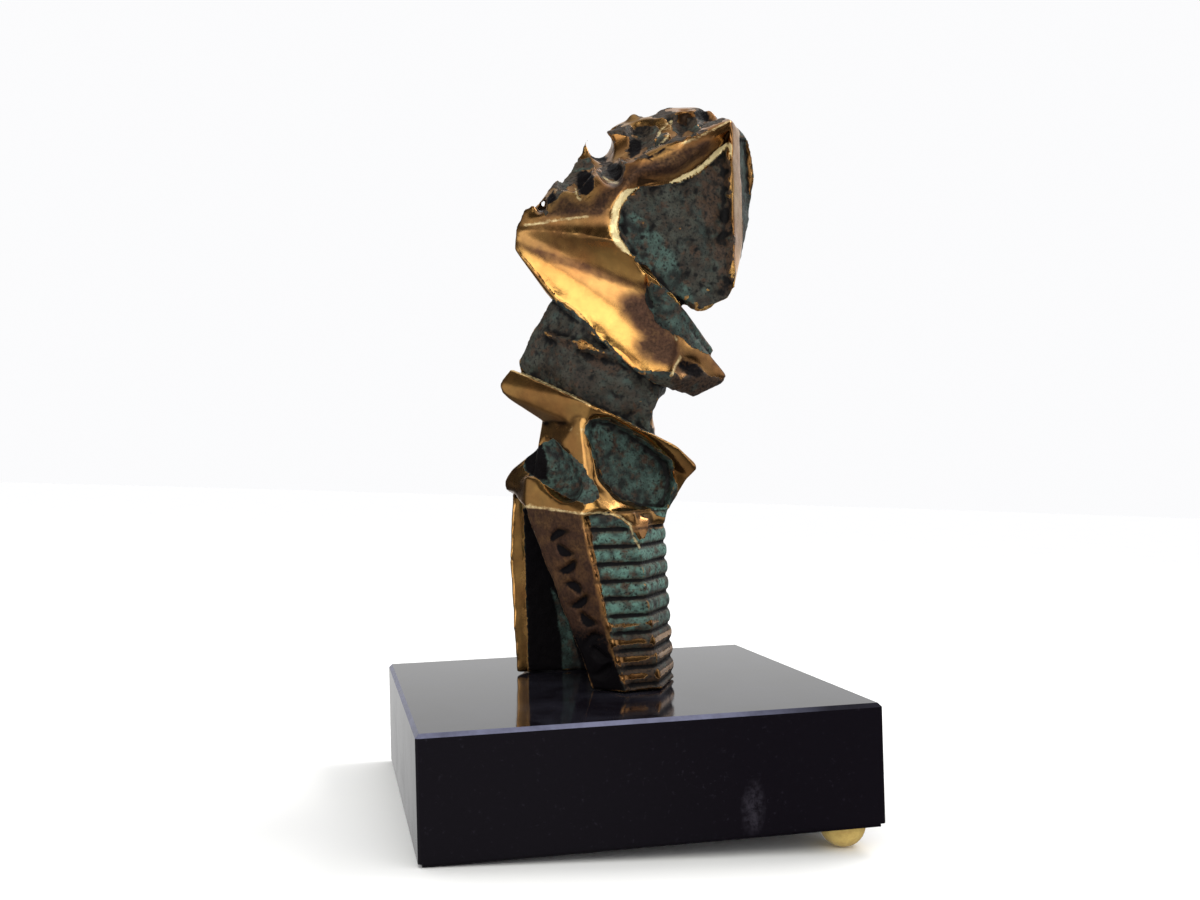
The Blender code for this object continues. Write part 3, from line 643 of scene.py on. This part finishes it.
def worn_edges(surface, uneven):
    """Rounds the sharp edges, more in some places than in others."""
    around = np.stack([surface.average(surface.points[:, i], EDGE_ROUNDS) for i in range(3)], axis=1)
    share = 0.55 + 0.40 * np.clip(uneven, -1, 1)
    share = share * (1 - 0.65 * on_column(surface)) * (1 - 0.7 * step(surface.points[:, 2], 146.0, 150.0))
    surface.move((around - surface.points) * share[:, None])


def build_bronze():
    piece = fine_copy("bronze", "bronze_casting")
    surface = Surface(piece)
    uneven = grain(surface.points, 7.0, 2, 5.0)
    ragged = 0.7 * grain(surface.points, 3.6, 3, 1.0)
    worn_edges(surface, uneven)
    dent(surface, CUPS + PITS)
    dent(surface, NOTCHES, (0.0, 0.0, -1.0))
    surface.look()
    patina = patina_of(surface, ragged, uneven)
    bevel = bevel_of(surface)
    surface.move(bevel[:, None] * np.array([[0.0, BEVEL_DEPTH, 0.0]]))
    edge = step(np.abs(surface.hollow(16)), 0.05, 0.25)
    lumpy = np.max([height * in_place(surface, outline) for outline, height in LUMPS], axis=0)
    lumps = lumpy * grain(surface.points, 8.0, 3, 6.0)
    rough = 0.20 * (1 - 0.55 * on_column(surface)) * grain(surface.points, 2.2, 3, 3.0)
    groove = 0.30 * (1 - step(to_groove(surface), 0.0, 1.0)) * on_column(surface)
    waves = (0.05 + 0.45 * edge) * uneven
    surface.push(waves * (1 - patina) + (rough + lumps - groove) * patina - STROKE_DEPTH * stroke_of(surface))
    surface.look()
    # Painted highlight on the bevels and along the highlight lines
    cut_and_highlight = cut_and_highlight_of(surface)
    surface.keep("patina", patina * (1 - cut_and_highlight))
    surface.keep("verdigris", verdigris_of(surface))
    surface.keep("film_and_dark_reflection", film_and_dark_reflection_of(surface, uneven))
    surface.keep("shade", shade_of(surface) * (1 - cut_and_highlight))
    surface.keep("cut_and_highlight", cut_and_highlight)
    surface.keep("brown", brown_of(surface, ragged))
    surface.keep("hollow", surface.hollow(12))
    thin_out(piece)
    piece.data.shade_smooth()
    piece.data.materials.clear()
    piece.data.materials.append(bronze_material())
    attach(piece, "root")
    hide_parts("bronze")


class Nodes:
    """A short way to write a node material."""

    def __init__(self, name):
        self.material = bpy.data.materials.new(name)
        self.material.use_nodes = True
        self.tree = self.material.node_tree
        self.shader = self.tree.nodes["Principled BSDF"]
        self.place = self.new("ShaderNodeTexCoord").outputs["Object"]

    def new(self, kind, **values):
        node = self.tree.nodes.new(kind)
        for key, value in values.items():
            setattr(node, key, value)
        return node

    def put(self, socket, value):
        if isinstance(value, bpy.types.NodeSocket):
            self.tree.links.new(value, socket)
        elif hasattr(value, "__len__") and len(value) == 3 and socket.type == "RGBA":
            socket.default_value = (*value, 1.0)
        else:
            socket.default_value = value

    def attribute(self, name):
        return self.new("ShaderNodeAttribute", attribute_name=name).outputs["Fac"]

    def noise(self, size, detail=4.0, rough=0.55, distort=0.0):
        """Noise with features of a size in millimetres."""
        node = self.new("ShaderNodeTexNoise")
        self.put(node.inputs["Vector"], self.place)
        node.inputs["Scale"].default_value = 1 / (size * MM)
        node.inputs["Detail"].default_value = detail
        node.inputs["Roughness"].default_value = rough
        node.inputs["Distortion"].default_value = distort
        return node.outputs["Fac"]

    def ramp(self, value, low, high, start=0.0, end=1.0):
        node = self.new("ShaderNodeMapRange", clamp=True)
        for key, number in (("From Min", low), ("From Max", high), ("To Min", start), ("To Max", end)):
            node.inputs[key].default_value = number
        self.put(node.inputs["Value"], value)
        return node.outputs["Result"]

    def split(self, vector):
        node = self.new("ShaderNodeSeparateXYZ")
        self.put(node.inputs[0], vector)
        return list(node.outputs)

    def sum(self, a, b, kind="ADD"):
        node = self.new("ShaderNodeMath", operation=kind)
        self.put(node.inputs[0], a)
        self.put(node.inputs[1], b)
        return node.outputs[0]

    def times(self, a, b):
        return self.sum(a, b, "MULTIPLY")

    def mix(self, share, a, b):
        node = self.new("ShaderNodeMix", data_type="RGBA")
        self.put(node.inputs["Factor"], share)
        self.put(node.inputs[6], a)
        self.put(node.inputs[7], b)
        return node.outputs[2]

    def bump(self, height, depth, before=None):
        """Relief from a height of 0 to 1, as deep as a depth in millimetres."""
        node = self.new("ShaderNodeBump")
        node.inputs["Strength"].default_value = 1.0
        node.inputs["Distance"].default_value = depth * MM
        self.put(node.inputs["Height"], height)
        if before is not None:
            self.put(node.inputs["Normal"], before)
        return node.outputs["Normal"]

    def finish(self, colour, metallic, roughness, normal):
        self.put(self.shader.inputs["Base Color"], colour)
        self.put(self.shader.inputs["Metallic"], metallic)
        self.put(self.shader.inputs["Roughness"], roughness)
        self.put(self.shader.inputs["Normal"], normal)
        return self.material


def bronze_material():
    """Polished golden brown, and where it is patinated a rough skin of dark green, verdigris and brown."""
    n = Nodes("bronze")
    patina = n.attribute("patina")
    hollow = n.attribute("hollow")
    shade = n.attribute("shade")
    fleck = n.noise(0.8, 5.0, 0.6)
    blotch = n.sum(n.times(n.noise(3.2, 5.0, 0.6), 0.6), n.times(n.noise(8.0, 3.0), 0.4))
    wide = n.noise(15.0, 3.0)
    gold = n.mix(n.ramp(wide, 0.35, 0.65), GOLD_DEEP, GOLD)
    # Brown film, and painted dark reflections on the scoop, flange and slab
    film_and_dark_reflection = n.sum(n.attribute("film_and_dark_reflection"), n.ramp(n.noise(3.0, 5.0), 0.35, 0.70, -0.06, 0.14))
    gold = n.mix(film_and_dark_reflection, gold, BROWN_FILM_AND_DARK_REFLECTION)
    # Painted shade: the polish darker in its small hollows
    gold = n.mix(n.ramp(hollow, 0.02, 0.12), gold, CREASE_SHADE_BROWN)
    green = n.mix(n.ramp(blotch, 0.42, 0.60), GREEN_DARK, GREEN_GREY)
    green = n.mix(n.times(n.attribute("verdigris"), n.ramp(blotch, 0.40, 0.54)), green, VERDIGRIS)
    brown_spots = n.ramp(n.noise(2.6, 4.0), 0.50, 0.66)
    brown_places = n.times(n.attribute("brown"), n.ramp(n.noise(3.4, 4.0), 0.30, 0.50))
    brown_share = n.sum(brown_places, brown_spots, "MAXIMUM")
    green = n.mix(brown_share, green, PATINA_BROWN)
    green = n.mix(n.ramp(fleck, 0.50, 0.66), green, PATINA_BLACK_AND_CREASE_SHADE)
    # Painted shade: the patina black in its small hollows
    green = n.mix(n.ramp(hollow, 0.03, 0.16), green, PATINA_BLACK_AND_CREASE_SHADE)
    bare = n.ramp(hollow, -0.24, -0.10, -0.55, 0.0)
    edge = n.sum(bare, n.times(n.sum(fleck, 0.5, "SUBTRACT"), 0.5))
    cover = n.ramp(n.sum(patina, edge), 0.42, 0.58)
    colour = n.mix(cover, gold, green)
    flecked_shade = n.sum(shade, n.times(n.sum(fleck, 0.5, "SUBTRACT"), 0.6))
    # Painted shade: nearly black where the shade attribute is high
    colour = n.mix(n.ramp(flecked_shade, 0.25, 0.75), colour, SHADE_BLACK)
    streak = n.ramp(n.noise(1.6, 5.0, 0.65), 0.30, 0.62, -0.20, 0.16)
    # Painted highlight: pale, less metallic colour on the bevels and along the highlight lines
    cut_and_highlight = n.ramp(n.sum(n.attribute("cut_and_highlight"), streak), 0.25, 0.90)
    colour = n.mix(cut_and_highlight, colour, CUT_METAL_AND_HIGHLIGHT)
    dull = n.sum(cover, shade, "MAXIMUM")
    metallic = n.times(n.ramp(dull, 0.0, 1.0, 1.0, 0.0), n.ramp(cut_and_highlight, 0.0, 1.0, 1.0, 0.3))
    polished = n.sum(n.ramp(n.noise(2.2, 4.0), 0.3, 0.7, 0.13, 0.24), n.times(film_and_dark_reflection, 0.10))
    rough = n.ramp(fleck, 0.3, 0.7, 0.42, 0.75)
    n.put(n.shader.inputs["Specular IOR Level"], n.ramp(shade, 0.0, 0.8, 0.40, 0.06))
    mixed = n.new("ShaderNodeMix", data_type="FLOAT")
    n.put(mixed.inputs["Factor"], dull)
    n.put(mixed.inputs[2], polished)
    n.put(mixed.inputs[3], rough)
    normal = n.bump(n.times(n.noise(0.6, 6.0, 0.6), cover), 0.30)
    normal = n.bump(n.noise(2.5, 2.0), 0.03, normal)
    return n.finish(colour, metallic, mixed.outputs[0], normal)


def stone_material():
    """Polished black stone with a painted pale reflection on its rougher chamfer, a pale smudge on its front
    and haze on its top.
    """
    n = Nodes("polished_black_stone")
    speck = n.noise(1.1, 3.0)
    vein = n.noise(6.0, 6.0, 0.6, 0.6)
    x, y, z = n.split(n.place)
    colour = n.mix(n.ramp(speck, 0.64, 0.80), STONE_BLACK, STONE_SPECK)
    colour = n.mix(n.ramp(vein, 0.70, 0.80), colour, STONE_VEIN)
    leaning = n.split(n.new("ShaderNodeNewGeometry").outputs["True Normal"])[2]
    # Painted reflection on the chamfer, paler to the left
    chamfer = n.times(n.ramp(leaning, 0.4, 0.6), n.ramp(leaning, 0.8, 0.95, 1.0, 0.0))
    chamfer = n.times(chamfer, n.ramp(x, 0.012, 0.045, 1.0, 0.06))
    chamfer = n.times(chamfer, n.ramp(n.noise(9.0, 5.0, 0.7), 0.3, 0.6, 0.55, 1.0))
    colour = n.mix(chamfer, colour, CHAMFER_REFLECTION_BLUE)
    aside = n.sum(n.times(n.sum(x, SMUDGE[0], "SUBTRACT"), 1 / SMUDGE[2]), 2.0, "POWER")
    above = n.sum(n.times(n.sum(z, SMUDGE[1], "SUBTRACT"), 1 / SMUDGE[3]), 2.0, "POWER")
    smudge = n.ramp(n.sum(aside, above), 0.2, 1.4, 1.0, 0.0)
    smudge = n.times(smudge, n.ramp(y, -0.058, -0.055, 1.0, 0.0))
    colour = n.mix(n.times(smudge, n.ramp(speck, 0.3, 0.7)), colour, SMUDGE_GREY)
    smear = n.noise(20.0, 5.0, 0.6, 0.8)
    haze = n.times(n.ramp(smear, 0.40, 0.80, 0.0, 0.7), n.ramp(leaning, 0.97, 0.99))
    colour = n.mix(haze, colour, STONE_HAZE)
    roughness = n.sum(n.ramp(smear, 0.3, 0.7, 0.04, 0.12), n.times(chamfer, 0.2))
    n.shader.inputs["Specular IOR Level"].default_value = STONE_SPECULAR
    return n.finish(colour, 0.0, roughness, n.bump(speck, 0.004))


def brass_material():
    n = Nodes("brass")
    smear = n.noise(2.0, 4.0)
    colour = n.mix(n.ramp(smear, 0.4, 0.7), BRASS, BRASS_DULL)
    roughness = n.ramp(smear, 0.3, 0.7, 0.12, 0.26)
    return n.finish(colour, BRASS_METALLIC, roughness, n.bump(n.noise(0.5, 3.0), 0.01))


def dress_carried_nodes():
    stone, brass = stone_material(), brass_material()
    for name, material in (("plinth", stone), ("foot_front_right", brass), ("foot_back_right", brass)):
        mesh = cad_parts[name].data
        mesh.materials.clear()
        mesh.materials.append(material)


def build_floor():
    bm = bmesh.new()
    bmesh.ops.create_circle(bm, cap_ends=True, segments=96, radius=FLOOR_RADIUS)
    mesh = bpy.data.meshes.new("floor")
    bm.to_mesh(mesh)
    bm.free()
    floor = bpy.data.objects.new("floor", mesh)
    bpy.context.scene.collection.objects.link(floor)
    n = Nodes("pale_floor")
    tone = n.mix(n.ramp(n.noise(60.0, 3.0), 0.3, 0.7), FLOOR_LOW, FLOOR_HIGH)
    n.shader.inputs["Specular IOR Level"].default_value = 0.0
    mesh.materials.append(n.finish(tone, 0.0, FLOOR_ROUGHNESS, n.bump(n.noise(1.5, 3.0), 0.01)))
    floor.visible_glossy = False


def toward(azimuth, height):
    """The direction of an azimuth, 0 at the viewer and growing to the right, and a height, in degrees."""
    turn, lift = math.radians(azimuth), math.radians(height)
    local = Vector((math.sin(turn) * math.cos(lift), -math.cos(turn) * math.cos(lift), math.sin(lift)))
    return STATUE.to_3x3() @ local


# What the polish mirrors: azimuth, height, inner and outer half angle, and how bright it is
MIRRORED = [
    (-74.0, -4.0, 16.0, 40.0, 0.36),
    (-31.0, 2.0, 10.0, 28.0, 1.55),
    (31.0, 12.0, 5.0, 15.0, 0.70),
    (6.0, 13.0, 5.0, 16.0, 1.00),
    (12.0, -17.0, 6.0, 20.0, 0.25),
    (174.0, 10.0, 8.0, 46.0, 0.90),
    (98.0, 16.0, 8.0, 30.0, 0.90),
    (144.0, 68.0, 16.0, 46.0, 0.55),
    (0.0, -90.0, 20.0, 70.0, 0.22),
]
MIRRORED_ELSEWHERE = 0.045
ROOM_LIGHT = 1.03
WHITE = (0.97, 0.97, 0.98)


def build_world():
    """White for the eye, even for diffuse light, and mostly dark with some bright places for reflections."""
    world = bpy.data.worlds.new("studio")
    bpy.context.scene.world = world
    world.use_nodes = True
    tree = world.node_tree
    tree.nodes.clear()
    where = tree.nodes.new("ShaderNodeTexCoord").outputs["Generated"]
    path = tree.nodes.new("ShaderNodeLightPath")

    def background(colour):
        node = tree.nodes.new("ShaderNodeBackground")
        if isinstance(colour, bpy.types.NodeSocket):
            tree.links.new(colour, node.inputs["Color"])
        else:
            node.inputs["Color"].default_value = (*colour, 1.0)
        return node.outputs[0]

    def choose(ray, otherwise, then):
        node = tree.nodes.new("ShaderNodeMixShader")
        tree.links.new(path.outputs[ray], node.inputs[0])
        tree.links.new(otherwise, node.inputs[1])
        tree.links.new(then, node.inputs[2])
        return node.outputs[0]

    def lobe(azimuth, height, inner, outer, strength):
        """A soft round bright place in a direction."""
        dot = tree.nodes.new("ShaderNodeVectorMath")
        dot.operation = "DOT_PRODUCT"
        tree.links.new(where, dot.inputs[0])
        dot.inputs[1].default_value = toward(azimuth, height)
        fade = tree.nodes.new("ShaderNodeMapRange")
        fade.interpolation_type = "SMOOTHSTEP"
        tree.links.new(dot.outputs["Value"], fade.inputs["Value"])
        fade.inputs["From Min"].default_value = math.cos(math.radians(outer))
        fade.inputs["From Max"].default_value = math.cos(math.radians(inner))
        fade.inputs["To Max"].default_value = strength
        return fade.outputs["Result"]

    mirrored = MIRRORED_ELSEWHERE
    for place_lit in MIRRORED:
        add = tree.nodes.new("ShaderNodeMath")
        if isinstance(mirrored, float):
            add.inputs[0].default_value = mirrored
        else:
            tree.links.new(mirrored, add.inputs[0])
        tree.links.new(lobe(*place_lit), add.inputs[1])
        mirrored = add.outputs[0]
    unseen = choose("Is Glossy Ray", background((ROOM_LIGHT,) * 3), background(mirrored))
    out = tree.nodes.new("ShaderNodeOutputWorld")
    tree.links.new(choose("Is Camera Ray", unseen, background(WHITE)), out.inputs["Surface"])


def soft_light(name, azimuth, height, aim, distance, size, radiance, tint):
    """A soft light in a direction from a height in millimetres on the statue's axis, at which it points."""
    data = bpy.data.lights.new(name, "AREA")
    data.shape = "RECTANGLE"
    data.size, data.size_y = size[0] * MM, size[1] * MM
    data.energy = radiance * math.pi * data.size * data.size_y
    data.color = tint
    light = bpy.data.objects.new(name, data)
    line = toward(azimuth, height)
    light.location = place(0.0, 0.0, aim) + line * (distance * MM)
    light.rotation_mode = "QUATERNION"
    light.rotation_quaternion = (-line).to_track_quat("-Z", "Y")
    light.visible_camera = False
    bpy.context.scene.collection.objects.link(light)


def build_lights():
    soft_light("front_lamp", -4.0, 39.0, 110.0, 850.0, (500.0, 520.0), 1.9, (1.0, 1.0, 0.86))
    soft_light("key", 118.0, 46.0, 60.0, 850.0, (350.0, 350.0), 8.0, (1.0, 0.98, 0.95))


def build_camera():
    data = bpy.data.cameras.new("camera")
    data.lens = CAMERA_LENS
    data.sensor_width = 36.0
    data.clip_start = 0.01
    camera = bpy.data.objects.new("camera", data)
    bpy.context.scene.collection.objects.link(camera)
    forward = Vector((0.0, math.cos(CAMERA_PITCH), math.sin(CAMERA_PITCH)))
    right = Vector((1.0, 0.0, 0.0))
    up = right.cross(forward)
    rolled_right = right * math.cos(CAMERA_ROLL) + up * math.sin(CAMERA_ROLL)
    rolled_up = up * math.cos(CAMERA_ROLL) - right * math.sin(CAMERA_ROLL)
    turn = Matrix((rolled_right, rolled_up, -forward)).transposed().to_4x4()
    camera.matrix_world = STATUE @ Matrix.Translation(Vector(CAMERA_PLACE) * MM) @ turn
    bpy.context.scene.camera = camera


build_bronze()
dress_carried_nodes()
build_floor()
build_world()
build_lights()
build_camera()
bpy.context.scene.view_settings.view_transform = "Standard"
